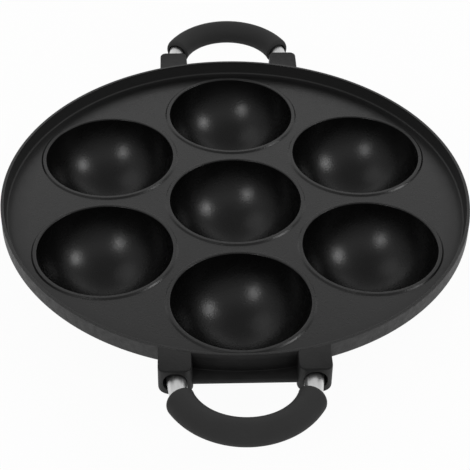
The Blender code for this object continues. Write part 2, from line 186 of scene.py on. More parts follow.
LEG_END_DEPTH = ROD_INSERT - ROD_RADIUS * sin(hypot(LEG_ANGLE, HANDLE_TILT))
LUG_TOP = RIM_TOP - LUG_STEP
BORE_Z = LUG_TOP - LUG_TOP_WALL - BORE_RADIUS
HANDLE_Z = BORE_Z + LEG_DROP
LUG_BOTTOM = BORE_Z - BORE_RADIUS - LUG_FLOOR
LUG_INNER_X = BORE_X - BORE_RADIUS - LUG_INNER_WALL
LUG_OUTER_X = BORE_X + BORE_RADIUS + LUG_OUTER_WALL
LUG_MIDDLE_X = (LUG_INNER_X + LUG_OUTER_X) / 2
LUG_WIDTH = LUG_OUTER_X - LUG_INNER_X
BORE_BOTTOM_Y = sqrt(TRAY_RADIUS ** 2 - (BORE_X - BORE_RADIUS) ** 2) + BORE_BACK_WALL
LUG_FACE = BORE_BOTTOM_Y + BORE_DEPTH
LUG_ROOT = BORE_BOTTOM_Y - LUG_BACK
GRIP_RADIUS = ROD_RADIUS + GRIP_WALL
GRIP_BORE = ROD_RADIUS + CLEARANCE

# Where the finishes change, as heights or radii from one level to the other
COATING_TOP = (RIM_TOP - 0.0008, RIM_TOP - 0.0002)
WALL_START = (TRAY_RADIUS - 0.0050, TRAY_RADIUS)
MARGIN_START = (TRAY_RADIUS - 0.0150, TRAY_RADIUS - 0.0020)
# Painted sheen: the lugs' tops are lighter near the rim, fading outwards over this height and reach
TOP_SHEEN_HEIGHT = (RIM_TOP - 0.0030, RIM_TOP - 0.0012)
TOP_SHEEN_REACH = (RIM_RADIUS, RIM_RADIUS + 0.016)
# Painted light and shade: lugs and webs get lighter outwards from the rim, below their tops
ENDS_LIGHT_REACH = (RIM_RADIUS + 0.003, RIM_RADIUS + 0.011)
ENDS_LIGHT_TOP = (RIM_TOP - 0.0012, RIM_TOP - 0.0006)

# Greys and roughness of the finishes, from one level to the other
NOISE_SPAN = (0.3, 0.7)
FULL_SPAN = (0.0, 1.0)
RISING = (0.0, 1.0)
FALLING = (1.0, 0.0)
COATING_GREY = (0.0, 0.0010)
COATING_ROUGHNESS = (0.25, 0.29)
# Painted sheen: the rim's inner wall is painted greyer
WALL_SHEEN_GREY = (0.0010, 0.0125)
WALL_DULLNESS = (0.0, 0.16)
MARGIN_DULLNESS = (0.0, 0.16)
PAINT_GREY = (0.006, 0.010)
PAINT_ROUGHNESS = (0.51, 0.61)
# Painted sheen on the lugs' tops near the rim
TOP_SHEEN_GREY = (0.013, 0.0)
# Painted light towards the lugs' ends and the webs' edges, leaving painted shade by the rim
ENDS_LIGHT_GREY = (0.0, 0.010)
RIM_PAINT_GREY = (0.018, 0.042)
RIM_PAINT_ROUGHNESS = (0.52, 0.66)
RUBBER_GREY = (0.044, 0.051)
RUBBER_ROUGHNESS = (0.58, 0.70)
STEEL_ROUGHNESS = (0.32, 0.41)
SCREW_ROUGHNESS = (0.32, 0.46)

# Grains of the finishes, each a size, a detail and a height
COATING_GRAINS = ((0.0009, 1.0, 0.00007), (0.0004, 1.0, 0.00001))
PAINT_GRAINS = ((0.0013, 3.0, 0.00014), (0.0005, 1.0, 0.00002))
RIM_PAINT_GRAINS = ((0.0016, 3.0, 0.00030), (0.0005, 1.0, 0.00005))
RUBBER_GRAINS = ((0.0009, 2.0, 0.00010),)
STEEL_GRAINS = ((0.0004, 2.0, 0.000006),)
SCREW_GRAINS = ((0.0003, 2.0, 0.00001),)
STEEL_STRETCH = (1.0, 0.08, 1.0)

# Floor
FLOOR_HALF = 14.0
FLOOR_ROUGHNESS = 0.9
FLOOR_GLOW_SHARE = 0.96

# Studio dome: heights and depths are shares of its radius, and a glow of 1 is as bright as the floor
DOME_RADIUS = 6.0
DOME_COLUMNS = 48
DOME_ROWS = 16
ROOM_GLOW = (0.24, 0.42)
ROOM_HEIGHT = (0.10, 0.60)
CROWN_GLOW = (0.0, -0.12)
CROWN_HEIGHT = (0.80, 0.97)
FRONT_GLOW = (0.13, 0.0)
FRONT_DEPTH = (-0.4, 0.05)
FRONT_FOOT = (0.50, 0.60)
FRONT_TOP = (0.74, 0.86)
WALL_GLOW = 0.90
WALL_DEPTH = (0.15, 0.6)
WALL_TOP = (0.69, 0.82)

# Lamps: direction, width, height and radiance, where 1 is as bright as the white floor
LAMP_DISTANCE = 5.0
LAMPS = {
    "right_lamp": ((0.764, -0.155, 0.622), 1.7, 1.2, 6.2),
    "left_lamp": ((-0.388, -0.700, 0.605), 1.2, 1.4, 6.2),
    "side_lamp": ((-0.518, 0.110, 0.848), 2.8, 2.8, 0.42),
}

# Camera
CAMERA_PLACE = (-0.03234, -0.71256, 0.61453)
CAMERA_AIM = (-0.00153, -0.03578, 0.04100)
CAMERA_ROLL = radians(0.934)
CAMERA_LENS = 108.36
CAMERA_SENSOR = 36.0
CAMERA_NEAR = 0.01


def arc(centre_x, centre_y, radius, start, end, steps):
    """Points on an arc, both ends included."""
    angles = [start + (end - start) * i / steps for i in range(steps + 1)]
    return [(centre_x + radius * cos(a), centre_y + radius * sin(a)) for a in angles]


def rounded_outline(corners):
    """Closed outline through corners (x, y, radius), each rounded where its radius isn't 0."""
    outline = []
    for i, (x, y, radius) in enumerate(corners):
        corner = Vector((x, y))
        back = (Vector(corners[i - 1][:2]) - corner).normalized()
        ahead = (Vector(corners[(i + 1) % len(corners)][:2]) - corner).normalized()
        if radius == 0:
            outline.append((x, y))
            continue
        half = back.angle(ahead) / 2
        centre = corner + (back + ahead).normalized() * radius / sin(half)
        start = corner + back * radius / tan(half) - centre
        end = corner + ahead * radius / tan(half) - centre
        first = atan2(start.y, start.x)
        turn = (atan2(end.y, end.x) - first + pi) % (2 * pi) - pi
        outline += arc(centre.x, centre.y, radius, first, first + turn, CORNER_STEPS)
    return outline


def new_object(name, mesh):
    obj = bpy.data.objects.new(name, mesh)
    bpy.context.scene.collection.objects.link(obj)
    return obj


def mesh_object(name, verts, faces):
    """A new object from points and faces, with its faces turned outwards."""
    mesh = bpy.data.meshes.new(name)
    mesh.from_pydata([tuple(v) for v in verts], [], faces)
    bm = bmesh.new()
    bm.from_mesh(mesh)
    bmesh.ops.recalc_face_normals(bm, faces=bm.faces)
    bm.to_mesh(mesh)
    bm.free()
    return new_object(name, mesh)


def lathe(name, profile, sides, centre=(0, 0)):
    """A turned solid from (radius, height) points; radius 0 at an end makes a pole there."""
    verts, rings = [], []
    for radius, z in profile:
        if radius == 0:
            rings.append([len(verts)])
            verts.append((centre[0], centre[1], z))
            continue
        rings.append(list(range(len(verts), len(verts) + sides)))
        for i in range(sides):
            a = 2 * pi * i / sides
            verts.append((centre[0] + radius * cos(a), centre[1] + radius * sin(a), z))
    faces = []
    closed = profile[0] == profile[-1]
    if closed:
        rings[-1] = rings[0]
        verts = verts[:-sides]
    for upper, lower in zip(rings, rings[1:]):
        for i in range(sides):
            j = (i + 1) % sides
            if len(upper) == 1:
                faces.append((upper[0], lower[i], lower[j]))
            elif len(lower) == 1:
                faces.append((upper[i], lower[0], upper[j]))
            else:
                faces.append((upper[i], lower[i], lower[j], upper[j]))
    return mesh_object(name, verts, faces)


def prism(name, outline, low, high, place):
    """A flat outline carried from low to high; place(u, v, w) gives each point's place."""
    count = len(outline)
    verts = [place(u, v, w) for w in (low, high) for u, v in outline]
    faces = [tuple(range(count)), tuple(range(2 * count - 1, count - 1, -1))]
    faces += [(i, (i + 1) % count, (i + 1) % count + count, i + count) for i in range(count)]
    return mesh_object(name, verts, faces)


def boolean(obj, tool, operation):
    """Joins a tool to the object or cuts it away, and removes the tool."""
    modifier = obj.modifiers.new(tool.name, "BOOLEAN")
    modifier.operation = operation
    modifier.solver = "MANIFOLD"
    modifier.object = tool
    apply_modifiers(obj)
    bpy.data.objects.remove(tool, do_unlink=True)


def apply_modifiers(obj):
    """Puts the modified mesh in the place of the object's own."""
    graph = bpy.context.evaluated_depsgraph_get()
    mesh = bpy.data.meshes.new_from_object(obj.evaluated_get(graph))
    obj.modifiers.clear()
    obj.data = mesh


def clean(obj):
    """Welds points that fall together and drops the faces that this empties."""
    bm = bmesh.new()
    bm.from_mesh(obj.data)
    bmesh.ops.remove_doubles(bm, verts=bm.verts, dist=WELD)
    bmesh.ops.dissolve_degenerate(bm, edges=bm.edges, dist=WELD / 2)
    bm.to_mesh(obj.data)
    bm.free()


def smooth(obj, angle=SMOOTH_ANGLE):
    """Smooth shading that keeps real edges and leaves flat faces flat."""
    obj.data.shade_smooth()
    obj.data.set_sharp_from_angle(angle=angle)
    weighted = obj.modifiers.new("even_normals", "WEIGHTED_NORMAL")
    weighted.mode = "FACE_AREA"
    weighted.weight = 100
    weighted.keep_sharp = True


def plate_profile():
    """Section of the plate and its rim, down the outer side."""
    fillet_r = TRAY_RADIUS - RIM_FOOT_FILLET
    fillet_z = PLATE_TOP + RIM_FOOT_FILLET
    foot = arc(fillet_r, fillet_z, RIM_FOOT_FILLET, -pi / 2, -RIM_LEAN, CORNER_STEPS)
    lip_r = RIM_RADIUS - RIM_LIP_WIDTH
    inner = arc(lip_r + RIM_INNER_EDGE, RIM_TOP - RIM_INNER_EDGE, RIM_INNER_EDGE,
                pi - RIM_LEAN, pi / 2, EDGE_STEPS)
    outer = arc(RIM_RADIUS - RIM_EDGE, RIM_TOP - RIM_EDGE, RIM_EDGE, pi / 2, 0, EDGE_STEPS)
    corner = arc(RIM_RADIUS - RIM_CORNER, PLATE_BOTTOM + RIM_CORNER, RIM_CORNER, 0, -pi / 2,
                 CORNER_STEPS)
    return [(0, PLATE_TOP)] + foot + inner + outer + corner + [(0, PLATE_BOTTOM)]


def cup_profile():
    """A cup's lip, the fillet under the plate, the dome and the foot, as one solid."""
    neck = sqrt((BOWL_SPHERE + CUP_WALL) ** 2 - (BOWL_CENTRE - PLATE_BOTTOM) ** 2)
    centre = (PLATE_BOTTOM ** 2 + neck ** 2 - FOOT_RADIUS ** 2) / (2 * PLATE_BOTTOM)
    sphere = hypot(FOOT_RADIUS, centre)
    fillet_z = PLATE_BOTTOM + FILLET_DIP - CUP_FILLET
    fillet_r = sqrt((sphere + CUP_FILLET) ** 2 - (centre - fillet_z) ** 2)
    lean = atan2(centre - fillet_z, fillet_r)
    fillet = arc(fillet_r, fillet_z, CUP_FILLET, pi / 2, pi - lean, CORNER_STEPS)
    edge_z = FOOT_EDGE
    edge_r = sqrt((sphere - FOOT_EDGE) ** 2 - (centre - edge_z) ** 2)
    edge_angle = -atan2(centre - edge_z, edge_r)
    dome = arc(0, centre, sphere, -lean, edge_angle, DOME_RINGS)
    edge = arc(edge_r, edge_z, FOOT_EDGE, edge_angle, -pi / 2, EDGE_STEPS)
    slope = atan2(LIP_SLOPE + LIP_SPREAD, LIP_RISE)
    inset = LIP_EDGE * tan((pi / 2 - slope) / 2)
    crest = arc(LIP_RADIUS - LIP_SPREAD - inset, LIP_Z - LIP_EDGE, LIP_EDGE, pi / 2, slope,
                EDGE_STEPS)
    reach = LIP_FOOT_FILLET * tan((pi / 2 - slope) / 2)
    hollow_z = PLATE_TOP - FILLET_DIP + LIP_FOOT_FILLET
    hollow = arc(LIP_FOOT_RADIUS + reach, hollow_z, LIP_FOOT_FILLET, pi + slope, 3 * pi / 2,
                 EDGE_STEPS)
    skirt = [(LIP_FOOT_RADIUS + reach, PLATE_TOP - 3 * FILLET_DIP)]
    return [(0, LIP_Z)] + crest + hollow + skirt + fillet + dome[1:] + edge[1:] + [(0, 0)]


def bowl_profile():
    """The inside of a cup, cut on past the lip, with its mouth's edge rounded."""
    edge_z = LIP_Z - MOUTH_EDGE
    edge_r = sqrt((BOWL_SPHERE + MOUTH_EDGE) ** 2 - (BOWL_CENTRE - edge_z) ** 2)
    lean = atan2(BOWL_CENTRE - edge_z, edge_r)
    mouth = arc(edge_r, edge_z, MOUTH_EDGE, pi / 2, pi - lean, EDGE_STEPS)
    bowl = arc(0, BOWL_CENTRE, BOWL_SPHERE, -lean, -pi / 2, BOWL_RINGS)
    above = LIP_Z + OVERLAP
    return [(0, above), (edge_r, above)] + mouth + bowl[1:-1] + [(0, BASE_THICKNESS)]


def cup_centres():
    """The middle cup, then a ring of cups with one of them before each handle."""
    angles = [pi / 2 + 2 * pi * i / CUPS_AROUND for i in range(CUPS_AROUND)]
    return [(0, 0)] + [(RING_RADIUS * cos(a), RING_RADIUS * sin(a)) for a in angles]


def bevel_top(obj, z, width, segments):
    """Rounds the outer edge of the face that lies at height z."""
    bm = bmesh.new()
    bm.from_mesh(obj.data)
    bmesh.ops.remove_doubles(bm, verts=bm.verts, dist=WELD)
    bmesh.ops.dissolve_limit(bm, angle_limit=FLAT_ANGLE, verts=bm.verts, edges=bm.edges)
    bm.faces.index_update()
    level = [all(abs(v.co.z - z) < LEVEL for v in f.verts) for f in bm.faces]
    bm.faces.ensure_lookup_table()
    bm.edges.ensure_lookup_table()
    edges = [e for e in bm.edges if sorted(level[f.index] for f in e.link_faces) == [False, True]]
    bmesh.ops.bevel(bm, geom=edges, offset=width, segments=segments, profile=0.5,
                    affect="EDGES")
    bm.to_mesh(obj.data)
    bm.free()


def make_lug(name, side, turn):
    """A lug with round corners, a belly below, a drafted inner side and a rounded top edge."""
    half = LUG_WIDTH / 2
    x = side * LUG_MIDDLE_X
    back, ahead = LUG_ROOT - OVERLAP, LUG_FACE + OVERLAP
    above = rounded_outline([
        (-half, LUG_ROOT, 0), (half, LUG_ROOT, 0),
        (half, LUG_FACE, LUG_CORNER), (-half, LUG_FACE, LUG_CORNER),
    ])
    end = rounded_outline([
        (-half, LUG_BOTTOM + LUG_BELLY, LUG_BELLY_CORNER),
        (-LUG_BELLY_FLAT, LUG_BOTTOM, LUG_BELLY_ROUND),
        (LUG_BELLY_FLAT, LUG_BOTTOM, LUG_BELLY_ROUND),
        (half, LUG_BOTTOM + LUG_BELLY, LUG_BELLY_CORNER),
        (half, LUG_TOP + OVERLAP, 0), (-half, LUG_TOP + OVERLAP, 0),
    ])
    flank = rounded_outline([
        (back, PLATE_BOTTOM + OVERLAP, 0), (BORE_BOTTOM_Y - LUG_HEEL, LUG_BOTTOM, LUG_HEEL_ROUND),
        (ahead, LUG_BOTTOM, 0), (ahead, LUG_TOP + OVERLAP, 0), (back, LUG_TOP + OVERLAP, 0),
    ])
    lug = prism(name, above, LUG_BOTTOM, LUG_TOP, lambda u, v, w: (x + u, v, w))
    front = prism(name + "_end", end, back, ahead, lambda u, v, w: (x + u, w, v))
    heel = prism(name + "_flank", flank, -half - OVERLAP, half + OVERLAP,
                 lambda u, v, w: (x + w, u, v))
    boolean(lug, front, "INTERSECT")
    boolean(lug, heel, "INTERSECT")
    bevel_top(lug, LUG_TOP, LUG_EDGE, EDGE_STEPS)
    for vertex in lug.data.vertices:
        upwards = (vertex.co.z - LUG_BOTTOM) / (LUG_TOP - LUG_BOTTOM)
        inwards = (LUG_OUTER_X - side * vertex.co.x) / LUG_WIDTH
        vertex.co.x += side * LUG_DRAFT * upwards * inwards
    lug.data.transform(turn)
    return lug


def make_web(name, turn):
    """The web from lug to lug, and the rim's drafted wall above it with the fillet at its foot."""
    half = LUG_INNER_X + OVERLAP
    root = sqrt(RIM_RADIUS ** 2 - LUG_INNER_X ** 2) - WEB_ROOT
    edge = LUG_FACE - WEB_SETBACK
    bottom = WEB_TOP - WEB_THICKNESS
    section = rounded_outline([
        (root, bottom, 0), (edge, bottom, WEB_EDGE),
        (edge, WEB_TOP, WEB_EDGE), (root, WEB_TOP, 0),
    ])
    plate = prism(name, section, -half, half, lambda u, v, w: (w, u, v))
    crest = RIM_TOP - RIM_EDGE
    lean = atan2(WEB_DRAFT, crest - WEB_TOP)
    centre_r = RIM_RADIUS + WEB_DRAFT + WEB_FILLET * tan((pi / 2 - lean) / 2)
    centre_z = WEB_TOP + WEB_FILLET - FILLET_DIP
    inner = RIM_RADIUS - OVERLAP
    below = WEB_TOP - OVERLAP
    ring = [(inner, crest), (RIM_RADIUS + FILLET_DIP, crest)]
    ring += arc(centre_r, centre_z, WEB_FILLET, pi + lean, 3 * pi / 2, CORNER_STEPS)
    ring += [(centre_r, below), (inner, below), (inner, crest)]
    wall = lathe(name + "_wall", ring, RIM_SIDES)
    outline = [(-half, LUG_ROOT), (half, LUG_ROOT), (half, LUG_FACE), (-half, LUG_FACE)]
    span = prism(name + "_span", outline, 0, RIM_TOP + OVERLAP, lambda u, v, w: (u, v, w))
    boolean(wall, span, "INTERSECT")
    for piece in (plate, wall):
        piece.data.transform(turn)
    return [plate, wall]


def make_bore(name, side, turn):
    """Straight blind bore along Y, its mouth's edge eased."""
    wide = BORE_RADIUS + BORE_EDGE
    profile = [(0, BORE_BOTTOM_Y), (BORE_RADIUS, BORE_BOTTOM_Y), (BORE_RADIUS, LUG_FACE - BORE_EDGE),
               (wide, LUG_FACE), (wide, LUG_FACE + OVERLAP), (0, LUG_FACE + OVERLAP)]
    bore = lathe(name, profile, BORE_SIDES)
    swing = Matrix.Translation((side * BORE_X, 0, BORE_Z)) @ Matrix.Rotation(-pi / 2, 4, "X")
    bore.data.transform(turn @ swing)
    return bore


def leg_point(depth):
    """Place on the right leg's centre line in the handle's plane, at a depth behind the lug's face."""
    run = depth / cos(HANDLE_TILT)
    return LEG_X + run * tan(LEG_ANGLE), -run


def screw_places(turn):
    """Where a handle's two set screws meet the legs' centre lines."""
    x, y = leg_point(SCREW_INSET)
    return [turn @ handle_matrix() @ Vector((side * x, y, 0)) for side in (-1, 1)]


def handle_matrix():
    """From the handle's plane to the rear handle's place on the pan."""
    return Matrix.Translation((0, LUG_FACE, HANDLE_Z)) @ Matrix.Rotation(HANDLE_TILT, 4, "X")


def make_screw_hole(name, place):
    """Hole for a set screw, from below the lug up into the leg."""
    top = place.z - ROD_RADIUS + SCREW_BITE + CLEARANCE
    radius = SCREW_RADIUS + CLEARANCE
    below = LUG_BOTTOM - OVERLAP
    profile = [(0, top), (radius, top), (radius, below), (0, below)]
    return lathe(name, profile, SCREW_SIDES, (place.x, place.y))


def make_pan(turns):
    """The casting: the plate with its rim, then webs, lugs and cups, and what is hollow last."""
    pan = lathe("pan_casting", plate_profile(), RIM_SIDES)
    core_r = RIM_RADIUS - RIM_LIP_WIDTH / 2
    core_z = (PLATE_TOP + PLATE_BOTTOM) / 2
    above = RIM_TOP + OVERLAP
    core_profile = [(0, above), (core_r, above), (core_r, core_z), (0, core_z)]
    cuts = []
    for end, turn in turns:
        shapes = make_web(end + "_web", turn)
        for number, side in enumerate((-1, 1)):
            lug = make_lug(f"{end}_lug_{number}", side, turn)
            boolean(lug, lathe("rim_core", core_profile, RIM_SIDES), "DIFFERENCE")
            shapes.append(lug)
            cuts.append(make_bore(f"{end}_bore_{number}", side, turn))
        for shape in shapes:
            boolean(pan, shape, "UNION")
        for number, place in enumerate(screw_places(turn)):
            cuts.append(make_screw_hole(f"{end}_screw_hole_{number}", place))
    for number, centre in enumerate(cup_centres()):
        boolean(pan, lathe(f"cup_{number}", cup_profile(), CUP_SIDES, centre), "UNION")
    for number, centre in enumerate(cup_centres()):
        boolean(pan, lathe(f"bowl_{number}", bowl_profile(), CUP_SIDES, centre), "DIFFERENCE")
    for cut in cuts:
        boolean(pan, cut, "DIFFERENCE")
    clean(pan)
    return pan


def handle_path():
    """Centre line of a rod in the handle's plane, from its right leg's end to its left leg's."""
    x = LEG_X - LEG_LENGTH * sin(LEG_ANGLE)
    y = LEG_LENGTH * cos(LEG_ANGLE)
    turn = LEG_ANGLE + SHOULDER_TURN
    shoulder_x = x - SHOULDER_RADIUS * cos(LEG_ANGLE)
    shoulder_y = y - SHOULDER_RADIUS * sin(LEG_ANGLE)
    shoulder = arc(shoulder_x, shoulder_y, SHOULDER_RADIUS, LEG_ANGLE, turn, SHOULDER_STEPS)
    end_x, end_y = shoulder[-1]
    bow_radius = end_x / cos(turn)
    bow = arc(0, end_y - bow_radius * sin(turn), bow_radius, turn, pi - turn, BOW_STEPS)
    right = [leg_point(LEG_END_DEPTH)] + shoulder
    left = [(-x, y) for x, y in reversed(right)]
    return right + bow[1:-1] + left


def path_lengths(path):
    """Length along a path at each of its points."""
    lengths = [0]
    for (x0, y0), (x1, y1) in zip(path, path[1:]):
        lengths.append(lengths[-1] + hypot(x1 - x0, y1 - y0))
    return lengths


def place_along(path, lengths, length):
    """Point at a length along a path."""
    for i in range(len(path) - 1):
        if length <= lengths[i + 1] or i == len(path) - 2:
            break
    (x0, y0), (x1, y1) = path[i], path[i + 1]
    share = (length - lengths[i]) / (lengths[i + 1] - lengths[i])
    return Vector((x0 + (x1 - x0) * share, y0 + (y1 - y0) * share, 0))


def sweep(name, rings, sides, closed):
    """A tube through (centre, heading, radius, slant) rings whose centres lie in the XY plane."""
    verts, faces = [], []
    for centre, heading, radius, slant in rings:
        across = Vector((heading.y, -heading.x, 0)).normalized() + heading * slant
        for i in range(sides):
            a = 2 * pi * i / sides
            verts.append(centre + across * radius * cos(a) + Vector((0, 0, radius * sin(a))))
    count = len(rings)
    for k in range(count if closed else count - 1):
        m = (k + 1) % count
        for i in range(sides):
            j = (i + 1) % sides
            faces.append((k * sides + i, k * sides + j, m * sides + j, m * sides + i))
    if not closed:
        faces.append(tuple(range(sides)))
        faces.append(tuple((count - 1) * sides + i for i in range(sides)))
    return mesh_object(name, verts, faces)


def tangents(points):
    """Heading at each point of a line of points."""
    ahead = points[1:] + [points[-1]]
    back = [points[0]] + points[:-1]
    return [(b - a).normalized() for a, b in zip(back, ahead)]


def make_rod(name, turn):
    """Bent steel rod with eased ends, and the holes that its set screws bite into."""
    path = handle_path()
    lengths = path_lengths(path)
    total = lengths[-1]
    spots = [(0, ROD_RADIUS - ROD_EDGE), (ROD_EDGE, ROD_RADIUS)]
    spots += [(s, ROD_RADIUS) for s in lengths[1:-1]]
    spots += [(total - ROD_EDGE, ROD_RADIUS), (total, ROD_RADIUS - ROD_EDGE)]
    points = [place_along(path, lengths, s) for s, _ in spots]
    rings = [(p, h, r, 0) for p, h, (_, r) in zip(points, tangents(points), spots)]
    rod = sweep(name, rings, ROD_SIDES, False)
    rod.data.transform(turn @ handle_matrix())
    for number, place in enumerate(screw_places(turn)):
        boolean(rod, make_screw_hole(f"{name}_hole_{number}", place), "DIFFERENCE")
    clean(rod)
    return rod


def make_grip(name, turn):
    """Sleeve over the bow: thicker towards its ends, which are slanted, rounded and flared inside."""
    path = handle_path()
    lengths = path_lengths(path)
    total = lengths[-1]
    half = total / 2
    start = LEG_END_DEPTH / (cos(LEG_ANGLE) * cos(HANDLE_TILT)) + GRIP_START
    end_radius = GRIP_RADIUS + GRIP_FLARE
    core = end_radius - GRIP_END_EDGE
    opening = acos((GRIP_BORE + GRIP_LIP - core) / GRIP_END_EDGE)
    inner_end = start + GRIP_END_EDGE
    edge = arc(inner_end, core, GRIP_END_EDGE, pi / 2 + opening, pi / 2, 2 * CORNER_STEPS)
    span = total - 2 * inner_end
    steps = ceil(span / GRIP_STEP)
    body = [inner_end + span * i / steps for i in range(1, steps)]
    flare = [(abs(s - half) / (half - inner_end)) ** GRIP_FLARE_POWER for s in body]
    outer = edge + [(s, GRIP_RADIUS + GRIP_FLARE * share) for s, share in zip(body, flare)]
    outer += [(total - s, r) for s, r in reversed(edge)]
    depths = [min(s, total - s) - start for s, _ in outer]
    widths = [max(0, 1 - depth / GRIP_MOUTH_DEPTH) ** 2 for depth in depths]
    inner = [GRIP_BORE + GRIP_MOUTH * width for width in widths]
    points = [place_along(path, lengths, s) for s, _ in outer]
    heads = tangents(points)
    slants = []
    for (s, _), depth in zip(outer, depths):
        share = max(0, 1 - depth / GRIP_SLANT_REACH)
        slants.append(GRIP_SLANT * share * share * (1 if s < half else -1))
    rings = [(p, h, r, k) for p, h, (_, r), k in zip(points, heads, outer, slants)]
    rings += list(zip(points, heads, inner, slants))[::-1]
    grip = sweep(name, rings, GRIP_SIDES, True)
    grip.data.transform(turn @ handle_matrix())
    return grip


def make_screw(name, place):
    """Set screw with a hexagon socket in its foot."""
    foot = LUG_BOTTOM + SCREW_RECESS
    tip = place.z - ROD_RADIUS + SCREW_BITE
    narrow = SCREW_RADIUS - SCREW_CHAMFER
    profile = [(0, tip), (narrow, tip), (SCREW_RADIUS, tip - SCREW_CHAMFER),
               (SCREW_RADIUS, foot + SCREW_CHAMFER), (narrow, foot), (0, foot)]
    screw = lathe(name, profile, SCREW_SIDES, (place.x, place.y))
    top, below = foot + SOCKET_DEPTH, foot - OVERLAP
    profile = [(0, top + SOCKET_TIP), (SOCKET_RADIUS, top), (SOCKET_RADIUS, below), (0, below)]
    socket = lathe(name + "_socket", profile, SOCKET_SIDES, (place.x, place.y))
    boolean(screw, socket, "DIFFERENCE")
    clean(screw)
    return screw


class Nodes:
    """A material's node tree, with short calls for the nodes that the scene uses.

    Where a socket is linked, its plain grey or roughness serves viewers that can't follow the nodes.
    """

    def __init__(self, name, grey=0.8, roughness=0.5, metallic=0.0, specular=0.5):
        self.material = bpy.data.materials.new(name)
        self.material.use_nodes = True
        self.tree = self.material.node_tree
        self.shader = self.tree.nodes["Principled BSDF"]
        self.fill(self.shader, {"Base Color": (grey, grey, grey, 1), "Roughness": roughness,
                                "Metallic": metallic, "Specular IOR Level": specular})
        self.place = self.node("TexCoord").outputs["Object"]

    def fill(self, node, inputs):
        """Gives a node's inputs, by name or number, plain values or other nodes' outputs."""
        for key, value in inputs.items():
            if isinstance(value, bpy.types.NodeSocket):
                self.tree.links.new(value, node.inputs[key])
            else:
                node.inputs[key].default_value = value

    def node(self, kind, inputs=None):
        node = self.tree.nodes.new("ShaderNode" + kind)
        self.fill(node, inputs or {})
        return node

    def finish(self, name, value):
        """Links a value to one of the shader's inputs."""
        self.fill(self.shader, {name: value})

    def surface(self, shader):
        """Links a shader's output to the material's, in place of the first shader."""
        self.fill(self.tree.nodes["Material Output"], {"Surface": shader})

    def stretched(self, scale):
        """The place scaled along each axis."""
        return self.node("Mapping", {"Vector": self.place, "Scale": scale}).outputs["Vector"]

    def noise(self, size, detail=2.0, roughness=0.5, place=None):
        """Noise whose features are about the given size."""
        inputs = {"Vector": place or self.place, "Scale": 1 / size, "Detail": detail,
                  "Roughness": roughness}
        return self.node("TexNoise", inputs).outputs["Fac"]

    def ranged(self, value, levels, span=NOISE_SPAN, interpolation="LINEAR"):
        """Levels that a value reaches as it goes through a span, held beyond its ends."""
        node = self.node("MapRange", {"Value": value, "From Min": span[0], "From Max": span[1],
                                      "To Min": levels[0], "To Max": levels[1]})
        node.interpolation_type = interpolation
        return node.outputs["Result"]

    def worked(self, operation, first, second):
        """A sum, product or the like of two values, each a number or a node's output."""
        node = self.node("Math", {0: first, 1: second})
        node.operation = operation
        return node.outputs[0]

    def radius(self):
        """Distance from the pan's upright axis."""
        node = self.node("VectorMath", {0: self.stretched((1.0, 1.0, 0.0))})
        node.operation = "LENGTH"
        return node.outputs["Value"]

    def axis(self, name):
        """The place along one axis, by its letter."""
        return self.node("SeparateXYZ", {0: self.place}).outputs[name]

    def bumps(self, grains, place=None):
        """Grains one over the other, each noise of a size and a detail, raised by a height."""
        normal = None
        for size, detail, height in grains:
            inputs = {"Height": self.noise(size, detail, place=place), "Distance": height,
                      "Strength": 1.0}
            if normal:
                inputs["Normal"] = normal
            normal = self.node("Bump", inputs).outputs["Normal"]
        self.finish("Normal", normal)


def make_coating():
    """Non-stick coating: near black and satin with a fine grain, duller at the rim and its wall, and
    painted greyer on the rim's inner wall as a painted sheen.
    """
    nodes = Nodes("nonstick_coating", grey=0.002, roughness=0.32, specular=0.48)
    below_lip = nodes.ranged(nodes.axis("Z"), FALLING, COATING_TOP)
    wall = nodes.ranged(nodes.radius(), RISING, WALL_START)
    wall = nodes.worked("MULTIPLY", wall, below_lip)
    margin = nodes.ranged(nodes.radius(), RISING, MARGIN_START)
    margin = nodes.worked("MULTIPLY", margin, below_lip)
    mottle = nodes.ranged(nodes.noise(size=0.02), COATING_GREY)
    # The rim's inner wall is painted greyer: a painted sheen
    grey = nodes.worked("ADD", mottle, nodes.ranged(wall, WALL_SHEEN_GREY, FULL_SPAN))
    nodes.finish("Base Color", grey)
    satin = nodes.ranged(nodes.noise(size=0.006, detail=3.0), COATING_ROUGHNESS)
    satin = nodes.worked("ADD", satin, nodes.ranged(margin, MARGIN_DULLNESS, FULL_SPAN))
    satin = nodes.worked("ADD", satin, nodes.ranged(wall, WALL_DULLNESS, FULL_SPAN))
    nodes.finish("Roughness", satin)
    nodes.bumps(COATING_GRAINS)
    return nodes.material


def make_paint():
    """Paint of the lugs and webs: black and dull, with a painted sheen over the lugs' tops that fades
    away from the rim, and painted lighter towards the webs' edges and the lugs' ends, which leaves
    painted shade by the rim."""
    nodes = Nodes("black_paint", grey=0.006, roughness=0.56, specular=0.27)
    grey = nodes.ranged(nodes.noise(size=0.008, detail=3.0), PAINT_GREY)
    # Painted sheen: lighter on the lugs' tops near the rim, fading outwards
    top = nodes.ranged(nodes.axis("Z"), RISING, TOP_SHEEN_HEIGHT)
    top_sheen = nodes.ranged(nodes.radius(), TOP_SHEEN_GREY, TOP_SHEEN_REACH)
    # Painted light and shade: lighter towards the lugs' ends and the webs' edges, darker by the rim
    ends_light = nodes.ranged(nodes.radius(), ENDS_LIGHT_GREY, ENDS_LIGHT_REACH)
    below = nodes.ranged(nodes.axis("Z"), FALLING, ENDS_LIGHT_TOP)
    grey = nodes.worked("ADD", grey, nodes.worked("MULTIPLY", top_sheen, top))
    grey = nodes.worked("ADD", grey, nodes.worked("MULTIPLY", ends_light, below))
    nodes.finish("Base Color", grey)
    nodes.finish("Roughness", nodes.ranged(nodes.noise(size=0.004, detail=3.0), PAINT_ROUGHNESS))
    nodes.bumps(PAINT_GRAINS)
    return nodes.material


